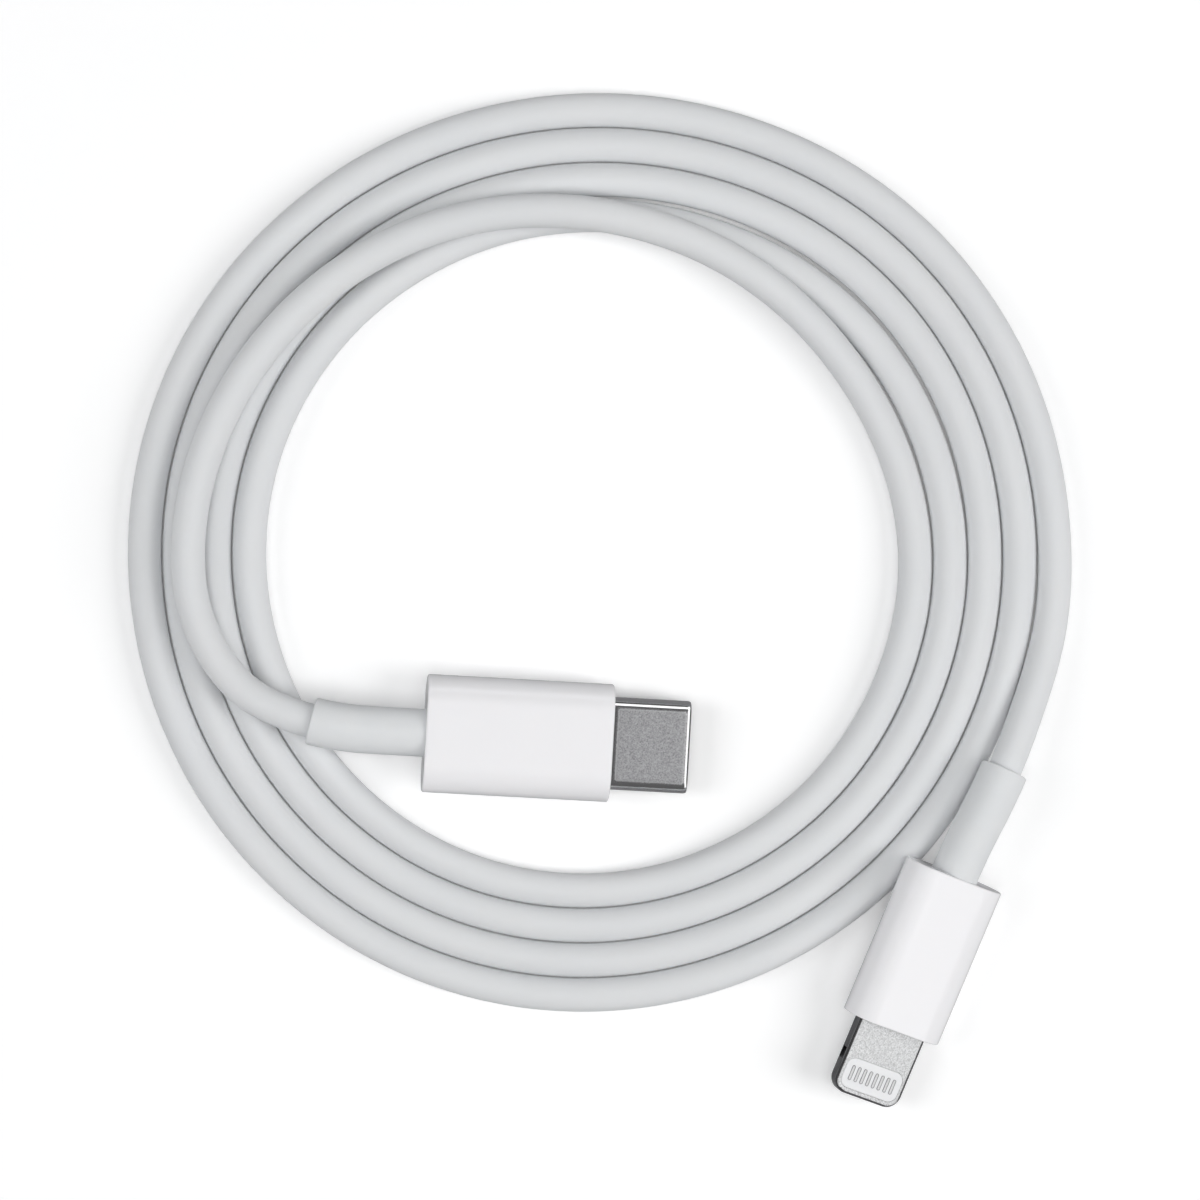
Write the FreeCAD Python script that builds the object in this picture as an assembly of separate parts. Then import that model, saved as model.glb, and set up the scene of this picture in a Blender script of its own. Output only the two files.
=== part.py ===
import FreeCAD, Part
import math
import os

# Charging cable: a 1 m round cable coiled flat, with a wide reversible plug
# (host end) lying inside the coil and a slim eight-contact plug (device end)
# outside it.  Millimetres, +Z up.  The origin is on the resting plane, at the
# centre of the whole coil's bounding box.

Vector = FreeCAD.Vector
ORIGIN = Vector(0, 0, 0)

# ---------------------------------------------------------------- dimensions
# OD is an outside diameter, ID a bore.
CABLE_OD, JACKET_ID = 3.05, 2.20
BRAID_OD, BRAID_ID = 2.04, 1.88
FOIL_OD, FOIL_ID = 1.74, 1.66
WIRE_OD, WIRE_ID = 0.54, 0.34
CONDUCTOR_OD = 0.24
YARN_OD = 0.30             # pull-strength yarn on the axis
WIRE_OFFSET = 0.47         # wire centre from the cable's axis
CORE_INSET = 2.0           # coil's flex joints to the ends of everything inside the jacket

FLEX_GAP = 0.45            # half gap at a flex joint of the cable
FLEX_BALL, FLEX_CUP = 1.40, 1.47       # sphere radii
RELIEF_OD = 4.30           # strain reliefs
RELIEF_GAP = 0.90          # half gap at a relief's flex joint
RELIEF_BALL, RELIEF_CUP = 2.00, 2.08

# Arc-length stations along the centreline, listed from the coil to the plug.
DEVICE_JOINTS = [175.44, 154.36, 133.3, 112.38, 91.52, 70.41, 48.89, 28.59]
DEVICE_YAW, DEVICE_RELIEF_REAR, DEVICE_PITCH = 11.67, 10.42, 5.21
HOST_JOINTS = [997.41, 1008.5, 1019.81, 1026.47]
HOST_YAW, HOST_RELIEF_REAR, HOST_PITCH = 1036.42, 1037.67, 1042.76

# Both plugs are drawn along +x from the centre of the housing's rear face,
# with y to the left and z up.  W is across y, T (thickness) is along z.
HOUSING_REAR = 0.02        # clears the relief's end
REAR_WALL_END = 1.6        # where the cavity starts
FRONT_WALL = 0.8
BORE_R = 1.5               # cable hole in the rear wall
BOARD_REAR, BOARD_FRONT = 4.3, 12.2
CAN_REAR, CAN_FRONT, CAN_WALL = 3.4, 12.15, 0.15
SLIDE_GAP = 0.10           # housing's opening over the sleeve or tongue

# host plug (wide reversible plug)
HOST_ORIGIN = (-15.692, -11.975, 4.204)
HOST_DIR = (0.9942, -0.0576, -0.0908)          # the way the plug points
HOST_L, HOST_W, HOST_T = 16.8, 10.6, 5.0
SLEEVE_W, SLEEVE_T, SLEEVE_WALL = 8.34, 2.56, 0.22
SLEEVE_BORE_W, SLEEVE_BORE_T = SLEEVE_W - 2 * SLEEVE_WALL, SLEEVE_T - 2 * SLEEVE_WALL
SLEEVE_REAR, SLEEVE_TIP = 12.4, 23.8
COLLAR_GAP = 0.16          # collar over sleeve
CARRIER_GAP = 0.16         # carrier inside sleeve
CARRIER_REAR, CARRIER_TIP = 12.9, 23.35
SPRING_COUNT, SPRING_PITCH, SPRING_W = 12, 0.50, 0.25
SPRING_BUMP_X, SPRING_BUMP_R = 20.5, 0.30
TAB_PITCH = 1.3            # tabs of the ground springs
TAB_YS = [(i - 1.5) * TAB_PITCH for i in range(4)]
LATCH_HALF_T = 0.28

# device plug (slim eight-contact plug)
DEVICE_ORIGIN = (31.78, -24.669, 3.984)
DEVICE_DIR = (-0.3821, -0.9228, -0.0486)
DEVICE_ROLL = 19.0         # degrees: one side rests on the coil, the other on the table
DEVICE_L, DEVICE_W, DEVICE_T = 14.8, 9.45, 4.9
TONGUE_W, TONGUE_T = 6.7, 1.5
TONGUE_REAR, TONGUE_TIP = 13.0, 21.8
WINDOW_REAR, WINDOW_FRONT, WINDOW_W = 18.4, 21.25, 5.75
WINDOW_R = 0.85            # corner radius
WINDOW_MID = (WINDOW_REAR + WINDOW_FRONT) / 2
INSERT_GAP = 0.03
NOTCH_X, NOTCH_R, NOTCH_H = DEVICE_L + 3.6, 0.62, 0.80
PAD_COUNT, PAD_PITCH = 8, 0.60
PAD_HALF_L, PAD_W, PAD_T, PAD_Z = 0.70, 0.30, 0.12, 0.68
PAD_GAP = 0.02
PAD_POCKET_FLOOR = 0.60

# Circuit board components: x0, x1, y0, y1, z0, z1 in the plug's frame.
HOST_COMPONENTS = [
    (6.4, 8.6, -1.1, 1.1, 0.32, 0.92), (6.6, 7.2, 2.0, 2.32, 0.32, 0.64),
    (8.0, 8.6, 2.0, 2.32, 0.32, 0.64), (6.6, 7.6, -2.9, -2.4, 0.32, 0.80),
    (6.6, 7.2, -0.16, 0.16, -0.64, -0.32), (7.8, 8.4, 1.2, 1.52, -0.64, -0.32),
    (7.8, 8.8, -1.9, -1.4, -0.80, -0.32),
]
DEVICE_COMPONENTS = [
    (6.3, 9.0, -1.2, 1.2, 0.37, 1.02), (9.6, 10.6, -0.9, -0.4, 0.37, 0.85),
    (9.6, 10.6, 0.5, 1.0, 0.37, 0.85), (6.3, 6.9, 1.8, 2.12, 0.37, 0.69),
    (7.6, 8.2, 1.8, 2.12, 0.37, 0.69), (6.6, 8.2, -0.8, 0.8, -0.97, -0.37),
    (9.4, 10.4, 0.4, 0.9, -0.85, -0.37), (9.4, 10.4, -0.9, -0.4, -0.85, -0.37),
]

# Centreline points (x, y, z) from the device plug's housing to the host plug's.
CENTRELINE = [
    DEVICE_ORIGIN, (36.273, -15.280, 3.904), (37.196, -13.078, 3.604),
    (38.442, -9.778, 2.954), (39.724, -5.955, 2.254), (40.608, -2.063, 1.784),
    (40.976, 4.151, 1.624), (37.145, 20.993, 1.529), (26.693, 34.554, 1.529),
    (11.741, 42.382, 1.529), (-4.845, 43.771, 1.529), (-20.618, 38.683, 1.529),
    (-33.107, 27.711, 1.529), (-40.063, 12.522, 1.529), (-40.071, -4.221, 1.529),
    (-33.231, -19.497, 1.529), (-20.744, -30.599, 1.529), (-4.849, -35.504, 1.529),
    (11.524, -33.411, 1.529), (25.469, -24.891, 1.529), (34.692, -11.598, 1.529),
    (37.814, 4.152, 1.529), (34.281, 19.718, 1.529), (24.595, 32.224, 1.529),
    (10.772, 39.401, 1.529), (-4.518, 40.653, 1.529), (-19.050, 35.968, 1.529),
    (-30.571, 25.868, 1.529), (-36.996, 11.871, 1.529), (-37.005, -3.569, 1.529),
    (-30.695, -17.655, 1.529), (-19.177, -27.884, 1.529), (-4.521, -32.386, 1.529),
    (10.555, -30.429, 1.529), (23.371, -22.561, 1.529), (31.828, -10.322, 1.529),
    (34.679, 4.152, 1.529), (31.416, 18.442, 1.529), (22.497, 29.894, 1.529),
    (9.803, 36.419, 1.529), (-4.190, 37.535, 1.529), (-17.483, 33.253, 1.529),
    (-28.035, 24.025, 1.529), (-33.929, 11.219, 1.529), (-33.938, -2.917, 1.529),
    (-28.159, -15.812, 1.529), (-17.609, -25.168, 1.529), (-4.194, -29.268, 1.529),
    (9.586, -27.447, 1.529), (21.274, -20.232, 1.529), (28.964, -9.047, 1.529),
    (31.544, 4.152, 1.529), (28.378, 17.089, 1.529), (20.239, 27.385, 1.529),
    (8.757, 33.199, 1.529), (-3.862, 34.415, 1.529), (-15.915, 30.538, 1.529),
    (-25.498, 22.182, 1.529), (-30.863, 10.567, 1.529), (-30.872, -2.266, 1.529),
    (-25.622, -13.969, 1.529), (-16.041, -22.453, 1.529), (-3.866, -26.150, 1.529),
    (8.617, -24.466, 1.529), (19.176, -17.902, 1.529), (26.100, -7.772, 1.529),
    (28.409, 4.152, 1.529), (26.576, 13.007, 1.624), (22.293, 20.833, 2.424),
    (16.162, 27.304, 3.784), (8.382, 31.998, 4.484), (-0.675, 34.444, 4.684),
    (-10.475, 34.277, 4.684), (-20.124, 30.886, 4.684), (-28.463, 24.307, 4.684),
    (-34.404, 15.077, 4.684), (-36.784, 4.118, 4.684), (-36.471, 0.230, 4.684),
    (-35.754, -2.290, 4.704), (-34.714, -4.506, 4.744), (-33.377, -6.435, 4.804),
    (-31.823, -8.060, 4.904), (-30.098, -9.182, 5.034), (-28.313, -10.009, 5.154),
    (-25.735, -10.855, 5.264), HOST_ORIGIN,
]


# ------------------------------------------------------- centreline geometry
# A frame is (point, tangent, normal); the normal is carried along untwisted.
def unit(vector):
    return vector * (1 / vector.Length)


def rotated(vector, axis, angle):
    cos, sin = math.cos(angle), math.sin(angle)
    return vector * cos + axis.cross(vector) * sin + axis * (axis.dot(vector) * (1 - cos))


class PathArc:
    """A circular arc of the centreline, or a straight line if centre is None."""

    def __init__(self, start, centre, axis, angle, length):
        self.start, self.centre, self.axis = start, centre, axis
        self.angle, self.length = angle, length

    def frame_at(self, distance):
        point, tangent, normal = self.start
        if self.centre is None:
            return point + tangent * distance, tangent, normal
        turn = self.angle / self.length * distance
        return (self.centre + rotated(point - self.centre, self.axis, turn),
                rotated(tangent, self.axis, turn), rotated(normal, self.axis, turn))

    def end(self):
        return self.frame_at(self.length)

    def part(self, begin, finish):
        length = finish - begin
        return PathArc(self.frame_at(begin), self.centre, self.axis,
                       self.angle * length / self.length, length)


def arc_to(start, target):
    """The arc that leaves the start frame along its tangent and ends at target."""
    point, tangent, _ = start
    chord = target - point
    inward = chord - tangent * chord.dot(tangent)
    if inward.Length < 1e-6:
        return PathArc(start, None, None, 0.0, chord.Length)
    inward = unit(inward)
    radius = chord.dot(chord) / (2 * chord.dot(inward))
    angle = 2 * math.atan2(chord.dot(inward), chord.dot(tangent))
    return PathArc(start, point + inward * radius, unit(tangent.cross(inward)),
                   angle, radius * angle)


def biarc(start, target, target_tangent):
    """Two tangent arcs with equal control lengths, from a frame to a point."""
    point, tangent, _ = start
    chord = target - point
    square = 2 * (1 - tangent.dot(target_tangent))
    linear = 2 * chord.dot(tangent + target_tangent)
    constant = -chord.dot(chord)
    if abs(square) < 1e-9:
        reach = -constant / linear
    else:
        root = math.sqrt(linear * linear - 4 * square * constant)
        reach = (root - linear) / (2 * square)
    middle = ((point + tangent * reach) + (target - target_tangent * reach)) * 0.5
    first = arc_to(start, middle)
    return [first, arc_to(first.end(), target)]


def spline_tangents(points, first, last):
    """Unit tangents of the cubic spline through points, with given end tangents."""
    count = len(points)
    gaps = [(points[i + 1] - points[i]).Length for i in range(count - 1)]
    columns = []
    for axis in range(3):
        values = [point[axis] for point in points]
        # One tridiagonal system for each axis, solved by elimination.
        lower, diagonal, upper = [0.0] * count, [1.0] * count, [0.0] * count
        right = [0.0] * count
        right[0], right[-1] = first[axis], last[axis]
        for i in range(1, count - 1):
            before, after = gaps[i - 1], gaps[i]
            lower[i], diagonal[i], upper[i] = after, 2 * (before + after), before
            right[i] = 3 * (after * (values[i] - values[i - 1]) / before
                            + before * (values[i + 1] - values[i]) / after)
        for i in range(1, count):
            factor = lower[i] / diagonal[i - 1]
            diagonal[i] -= factor * upper[i - 1]
            right[i] -= factor * right[i - 1]
        slopes = [0.0] * count
        slopes[-1] = right[-1] / diagonal[-1]
        for i in range(count - 2, -1, -1):
            slopes[i] = (right[i] - upper[i] * slopes[i + 1]) / diagonal[i]
        columns.append(slopes)
    return [unit(Vector(*slope)) for slope in zip(*columns)]


def build_path():
    points = [Vector(*point) for point in CENTRELINE]
    tangents = spline_tangents(points, Vector(*DEVICE_DIR) * -1, Vector(*HOST_DIR))
    normal = unit(Vector(0, 0, 1) - tangents[0] * tangents[0].z)
    path = []
    for i in range(len(points) - 1):
        path += biarc((points[i], tangents[i], normal), points[i + 1], tangents[i + 1])
        normal = path[-1].end()[2]
    return path


PATH = build_path()
LENGTH = sum(arc.length for arc in PATH)


def stretch(begin, finish):
    """The arcs of the centreline between two stations."""
    arcs, station = [], 0.0
    for arc in PATH:
        near, far = max(0.0, begin - station), min(arc.length, finish - station)
        if far - near > 1e-4:
            arcs.append(arc.part(near, far))
        station += arc.length
    return arcs


# ------------------------------------------------------ rods along the cable
def ring_edge(frame, radius, offset=(0, 0)):
    """A circle across the frame, its centre offset along normal and side."""
    point, tangent, normal = frame
    side = tangent.cross(normal)
    centre = point + normal * offset[0] + side * offset[1]
    edge = Part.Edge(Part.Circle(ORIGIN, Vector(0, 0, 1), radius))
    edge.Placement = FreeCAD.Placement(centre, FreeCAD.Rotation(normal, side, tangent, "ZXY"))
    return edge


def disc(frame, radius, offset=(0, 0)):
    return Part.Face(Part.Wire(ring_edge(frame, radius, offset)))


def annulus(frame, outer, inner, offset=(0, 0)):
    return disc(frame, outer, offset).cut(disc(frame, inner, offset)).Faces[0]


def skin(arcs, radius, offset=(0, 0)):
    """Side faces of a round rod along the arcs."""
    faces = []
    for arc in arcs:
        edge = ring_edge(arc.start, radius, offset)
        if arc.centre is None:
            faces.append(edge.extrude(arc.start[1] * arc.length))
        else:
            faces.append(edge.revolve(arc.centre, arc.axis, math.degrees(arc.angle)))
    return faces


def closed(faces):
    compound = Part.Compound(faces)
    compound.sewShape()
    solid = Part.Solid(compound.Shells[0])
    if solid.Volume < 0:
        solid.reverse()
    return solid


def round_rod(begin, finish, diameter, bore=0.0, offset=(0, 0)):
    """A round rod, or a tube when a bore diameter is given, between two stations."""
    arcs = stretch(begin, finish)
    faces = skin(arcs, diameter / 2, offset)
    if bore:
        faces += skin(arcs, bore / 2, offset)
    for frame in (arcs[0].start, arcs[-1].end()):
        if bore:
            faces.append(annulus(frame, diameter / 2, bore / 2, offset))
        else:
            faces.append(disc(frame, diameter / 2, offset))
    return closed(faces)


# Rod ends: side (1 a ball standing out, -1 a cup sunk in), distance of the
# sphere's centre beyond the end, sphere radius.
BALL, CUP = (1, FLEX_GAP, FLEX_BALL), (-1, FLEX_GAP, FLEX_CUP)
BIG_BALL, BIG_CUP = (1, RELIEF_GAP, RELIEF_BALL), (-1, RELIEF_GAP, RELIEF_CUP)


def end_faces(frame, radius, kind):
    """Closing faces of a rod's end; the frame's tangent points out of the rod."""
    if kind is None:
        return [disc(frame, radius)]
    point, out, normal = frame
    side, gap, sphere = kind
    rim = math.sqrt(sphere * sphere - gap * gap)
    centre = point + out * gap
    halfway = unit(normal * rim + out * (side * sphere - gap))
    profile = Part.Arc(point + normal * rim, centre + halfway * sphere,
                       centre + out * (side * sphere)).toShape()
    return [annulus(frame, radius, rim), profile.revolve(centre, out, 360)]


def stepped_rod(lengths, first=None, last=None):
    """A rod in lengths (begin, finish, diameter), with flat, ball or cup ends."""
    faces = []
    for begin, finish, diameter in lengths:
        arcs = stretch(begin, finish)
        radius = diameter / 2
        if faces:
            faces.append(annulus(end, max(radius, end_radius), min(radius, end_radius)))
        else:
            point, tangent, normal = arcs[0].start
            faces += end_faces((point, tangent * -1, normal), radius, first)
        faces += skin(arcs, radius)
        end, end_radius = arcs[-1].end(), radius
    return closed(faces + end_faces(end, end_radius, last))


# ------------------------------------------------------------- plug helpers
def box(x0, x1, y0, y1, z0, z1):
    """A box between two x, and between two y and two z in either order."""
    y0, y1 = sorted((y0, y1))
    z0, z1 = sorted((z0, z1))
    return Part.makeBox(x1 - x0, y1 - y0, z1 - z0, Vector(x0, y0, z0))


def slab(x0, x1, width, thick, radius):
    """A prism along x with a rounded-rectangle section."""
    y, z = width / 2, thick / 2
    sag = radius * (1 - math.sqrt(0.5))
    # Each corner: start, middle and end of its arc, as (y, z).
    corners = [
        ((y - radius, -z), (y - sag, -z + sag), (y, -z + radius)),
        ((y, z - radius), (y - sag, z - sag), (y - radius, z)),
        ((-y + radius, z), (-y + sag, z - sag), (-y, z - radius)),
        ((-y, -z + radius), (-y + sag, -z + sag), (-y + radius, -z)),
    ]
    corners = [[Vector(x0, *point) for point in corner] for corner in corners]
    edges = []
    for i, corner in enumerate(corners):
        edges.append(Part.Arc(*corner).toShape())
        edges.append(Part.makeLine(corner[2], corners[(i + 1) % 4][0]))
    return Part.Face(Part.Wire(Part.__sortEdges__(edges))).extrude(Vector(x1 - x0, 0, 0))


def stadium(x0, x1, width, thick):
    """A prism along x whose sides are full half rounds."""
    radius = thick / 2
    y = width / 2 - radius
    corners = [Vector(x0, y, -radius), Vector(x0, y, radius),
               Vector(x0, -y, radius), Vector(x0, -y, -radius)]
    edges = [Part.Arc(corners[0], Vector(x0, width / 2, 0), corners[1]).toShape(),
             Part.makeLine(corners[1], corners[2]),
             Part.Arc(corners[2], Vector(x0, -width / 2, 0), corners[3]).toShape(),
             Part.makeLine(corners[3], corners[0])]
    return Part.Face(Part.Wire(edges)).extrude(Vector(x1 - x0, 0, 0))


def at_x(edge, x):
    bounds = edge.BoundBox
    return abs(bounds.XMin - x) < 1e-3 and abs(bounds.XMax - x) < 1e-3


def soften(shape, radius, *ends):
    """Round the edges lying in the planes at the given x."""
    return shape.makeFillet(radius, [e for e in shape.Edges if any(at_x(e, x) for x in ends)])


def plate(x0, x1, width, thick, tip_radius, rear_radius=0.0):
    """A flat plate in the xy plane with round corners."""
    shape = box(x0, x1, -width / 2, width / 2, -thick / 2, thick / 2)
    for x, radius in ((x1, tip_radius), (x0, rear_radius)):
        if radius:
            corners = [e for e in shape.Edges if at_x(e, x) and e.BoundBox.YLength < 1e-3]
            shape = shape.makeFillet(radius, corners)
    return shape


def cylinder(start, end, radius):
    start = Vector(*start)
    span = Vector(*end) - start
    return Part.makeCylinder(radius, span.Length, start, span)


def axial(x0, x1, radius):
    return cylinder((x0, 0, 0), (x1, 0, 0), radius)


def plug_frame(origin, direction, roll=0.0):
    """x along the plug, y to its left, z up; a positive roll lowers the left side."""
    x = unit(Vector(*direction))
    y = unit(Vector(0, 0, 1).cross(x))
    y = rotated(y, x, -math.radians(roll))
    return FreeCAD.Placement(Vector(*origin), FreeCAD.Rotation(x, y, x.cross(y), "XYZ"))


def save(name, shape, place=None):
    if place is not None:
        shape = shape.copy()
        shape.Placement = place.multiply(shape.Placement)
    shape.exportStep(os.path.join("parts", name + ".step"))


def save_upper_lower(name, shape, place):
    """Save a piece and its mirror image below the plug's mid plane."""
    save(name % "upper", shape, place)
    save(name % "lower", shape.mirror(ORIGIN, Vector(0, 0, 1)), place)


# -------------------------------------------------------------------- cable
def make_coil():
    first, last = DEVICE_JOINTS[0], HOST_JOINTS[0]
    jacket = round_rod(first + FLEX_GAP, last - FLEX_GAP, CABLE_OD, JACKET_ID)
    for station in (first, last):
        point, tangent, _ = stretch(station, station + 0.01)[0].start
        jacket = jacket.cut(Part.makeSphere(FLEX_CUP, point, tangent))
    save("coil_jacket", jacket)

    inside = (first + CORE_INSET, last - CORE_INSET)
    save("coil_braid_shield", round_rod(*inside, BRAID_OD, BRAID_ID))
    save("coil_foil_wrap", round_rod(*inside, FOIL_OD, FOIL_ID))
    wires = {"power": (WIRE_OFFSET, 0), "ground": (-WIRE_OFFSET, 0),
             "data_plus": (0, WIRE_OFFSET), "data_minus": (0, -WIRE_OFFSET)}
    conductors = []
    for name, offset in wires.items():
        save("coil_wire_" + name, round_rod(*inside, WIRE_OD, WIRE_ID, offset))
        conductors.append(round_rod(*inside, CONDUCTOR_OD, offset=offset))
    save("coil_wire_conductors", Part.Compound(conductors))
    save("coil_pull_yarn", round_rod(*inside, YARN_OD))


def make_tail(name, stations, first, last):
    """Flexing lengths between joints, numbered from the coil to the plug."""
    for i in range(len(stations) - 1):
        begin, finish = sorted(stations[i:i + 2])
        rod = stepped_rod([(begin + FLEX_GAP, finish - FLEX_GAP, CABLE_OD)], first, last)
        save("%s_%02d" % (name, i + 1), rod)


def make_reliefs():
    """Strain reliefs: the rear half carries a cable stub, the front half meets the plug."""
    save("device_relief_rear", stepped_rod(
        [(DEVICE_PITCH + RELIEF_GAP, DEVICE_RELIEF_REAR, RELIEF_OD),
         (DEVICE_RELIEF_REAR, DEVICE_YAW - FLEX_GAP, CABLE_OD)], BIG_CUP, BALL))
    save("device_relief_front", stepped_rod(
        [(0.0, DEVICE_PITCH - RELIEF_GAP, RELIEF_OD)], None, BIG_BALL))
    save("host_relief_rear", stepped_rod(
        [(HOST_YAW + FLEX_GAP, HOST_RELIEF_REAR, CABLE_OD),
         (HOST_RELIEF_REAR, HOST_PITCH - RELIEF_GAP, RELIEF_OD)], BALL, BIG_CUP))
    save("host_relief_front", stepped_rod(
        [(HOST_PITCH + RELIEF_GAP, LENGTH, RELIEF_OD)], BIG_BALL, None))


# ------------------------------------------------- pieces common to the plugs
def plug_housing(length, width, thick, edge_radius, cavity_w, cavity_t, opening):
    shape = soften(stadium(HOUSING_REAR, length, width, thick), edge_radius, HOUSING_REAR, length)
    shape = shape.cut(stadium(REAR_WALL_END, length - FRONT_WALL, cavity_w, cavity_t))
    return shape.cut(opening).cut(axial(-1, 2, BORE_R))


def shield_can(width, thick, bottom):
    """The upper half of a thin open-ended stadium tube, from z = bottom up."""
    inner = stadium(CAN_REAR - 0.4, CAN_FRONT + 0.85, width - 2 * CAN_WALL, thick - 2 * CAN_WALL)
    return stadium(CAN_REAR, CAN_FRONT, width, thick).cut(inner).common(
        box(0, 20, -6, 6, bottom, 3))


def make_cable_entry(plug, place, crimp_radius, wire_z):
    """Crimp ring, cable end and the four wires fanning out to the board."""
    save(plug + "_crimp_ring", axial(1.75, 2.95, crimp_radius).cut(axial(1, 4, 1.49)), place)
    save(plug + "_cable_end", axial(0.05, 3.0, 1.42), place)
    wires = [cylinder((3.08, side * 0.42, face * wire_z), (5.4, side * 1.2, face * wire_z), 0.25)
             for side in (1, -1) for face in (1, -1)]
    save(plug + "_wire_tails", Part.Compound(wires), place)


def components(table):
    return Part.Compound([box(*bounds) for bounds in table])


# ---------------------------------------------------------------- host plug
def host_housing():
    opening = stadium(HOST_L - 1.3, HOST_L + 0.7, SLEEVE_W + SLIDE_GAP, SLEEVE_T + SLIDE_GAP)
    return plug_housing(HOST_L, HOST_W, HOST_T, 0.20, 9.0, 3.5, opening)


def host_sleeve():
    shape = soften(stadium(SLEEVE_REAR, SLEEVE_TIP, SLEEVE_W, SLEEVE_T), 0.14, SLEEVE_TIP)
    return shape.cut(stadium(SLEEVE_REAR - 1, SLEEVE_TIP + 1, SLEEVE_BORE_W, SLEEVE_BORE_T))


def host_front_collar():
    bore = stadium(14.0, 16.0, SLEEVE_W + COLLAR_GAP, SLEEVE_T + COLLAR_GAP)
    return stadium(14.2, 15.85, 8.8, 3.3).cut(bore)


def host_contact_carrier():
    shape = stadium(CARRIER_REAR, CARRIER_TIP,
                    SLEEVE_BORE_W - CARRIER_GAP, SLEEVE_BORE_T - CARRIER_GAP)
    shape = soften(shape, 0.12, CARRIER_TIP)
    # mouth
    shape = shape.cut(box(17.6, 24, -3.45, 3.45, -0.72, 0.72))
    for side in (1, -1):
        # channel for the contacts, recess for the ground spring, holes for its tabs
        shape = shape.cut(box(12.0, 18.0, -3.02, 3.02, 0.28 * side, 0.62 * side))
        shape = shape.cut(box(18.5, 22.9, -2.7, 2.7, 0.84 * side, 1.20 * side))
        for y in TAB_YS:
            shape = shape.cut(box(21.6, 22.75, y - 0.45, y + 0.45, 0.60 * side, 1.20 * side))
    for side in (1, -1):
        # slot for the latch
        shape = shape.cut(box(12.0, 22.6, 3.14 * side, 3.78 * side, -0.42, 0.42))
    return shape


def host_contacts():
    """A row of flat springs, each with a round bump on its inner face."""
    springs = []
    for i in range(SPRING_COUNT):
        y = (i - (SPRING_COUNT - 1) / 2) * SPRING_PITCH
        y0, y1 = y - SPRING_W / 2, y + SPRING_W / 2
        bump = Part.makeCylinder(SPRING_BUMP_R, SPRING_W, Vector(SPRING_BUMP_X, y0, 0.62),
                                 Vector(0, 1, 0))
        bump = bump.common(box(20, 21, y0, y1, 0.30, 0.45))
        springs.append(box(10.7, 21.4, y0, y1, 0.38, 0.50).fuse(bump).removeSplitter())
    return Part.Compound(springs)


def host_latch():
    """The left latch: a flat arm with a hook pointing inward near its tip."""
    arm = box(13.3, 22.0, 3.40, 3.55, -LATCH_HALF_T, LATCH_HALF_T)
    outline = [(20.9, 3.42), (21.3, 3.14), (21.6, 3.14), (22.0, 3.42), (20.9, 3.42)]  # x, y
    wire = Part.makePolygon([Vector(x, y, -LATCH_HALF_T) for x, y in outline])
    hook = Part.Face(wire).extrude(Vector(0, 0, 2 * LATCH_HALF_T))
    return arm.fuse(hook).removeSplitter()


def host_ground_spring():
    """A thin leaf with four tabs reaching inward, slotted between them."""
    shape = box(18.7, 22.5, -2.55, 2.55, 0.87, 0.95)
    for y in TAB_YS:
        shape = shape.fuse(box(21.85, 22.5, y - 0.3, y + 0.3, 0.62, 0.90))
    for y in (-TAB_PITCH, 0.0, TAB_PITCH):
        shape = shape.cut(box(19.8, 23.0, y - 0.12, y + 0.12, 0.5, 1.2))
    return shape.removeSplitter()


def host_circuit_board():
    """A board with its two rear corners notched."""
    shape = box(BOARD_REAR, BOARD_FRONT, -3.9, 3.9, -0.30, 0.30)
    for side in (-1, 1):
        shape = shape.cut(box(3.0, 5.2, 3.3 * side, 4.0 * side, -1, 1))
    return shape


def make_host_plug():
    place = plug_frame(HOST_ORIGIN, HOST_DIR)
    save("host_housing", host_housing(), place)
    save("host_sleeve", host_sleeve(), place)
    save("host_front_collar", host_front_collar(), place)
    save("host_contact_carrier", host_contact_carrier(), place)
    save_upper_lower("host_%s_contacts", host_contacts(), place)
    latch = host_latch()
    save("host_latch_left", latch, place)
    save("host_latch_right", latch.mirror(ORIGIN, Vector(0, 1, 0)), place)
    save_upper_lower("host_ground_spring_%s", host_ground_spring(), place)
    save("host_circuit_board", host_circuit_board(), place)
    save("host_board_components", components(HOST_COMPONENTS), place)
    save_upper_lower("host_shield_can_%s", shield_can(8.8, 3.3, 0.40), place)
    make_cable_entry("host", place, crimp_radius=1.66, wire_z=0.62)


# -------------------------------------------------------------- device plug
def device_housing():
    opening = slab(DEVICE_L - 1.3, DEVICE_L + 0.7, TONGUE_W + SLIDE_GAP, TONGUE_T + SLIDE_GAP, 0.5)
    return plug_housing(DEVICE_L, DEVICE_W, DEVICE_T, 0.14, 7.6, 3.4, opening)


def device_tongue_frame():
    shape = plate(TONGUE_REAR, TONGUE_TIP, TONGUE_W, TONGUE_T, 1.35)
    rim = [e for e in shape.Edges
           if e.BoundBox.ZLength < 1e-4 and e.BoundBox.XMax > TONGUE_REAR + 0.01]
    shape = shape.makeFillet(0.32, rim)
    # thicker root inside the housing
    shape = shape.fuse(slab(12.5, 13.9, TONGUE_W, 2.2, 0.4)).removeSplitter()
    shape = shape.cut(plate(WINDOW_REAR, WINDOW_FRONT, WINDOW_W, 4.0, WINDOW_R, WINDOW_R))
    # passage for the circuit board
    shape = shape.cut(box(12.0, WINDOW_REAR + 0.5, -2.5, 2.5, -0.45, 0.45))
    for side in (1, -1):
        # round notch in the side
        base = Vector(NOTCH_X, side * (TONGUE_W / 2 + 0.32), -NOTCH_H / 2)
        shape = shape.cut(Part.makeCylinder(NOTCH_R, NOTCH_H, base))
    return shape


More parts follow.
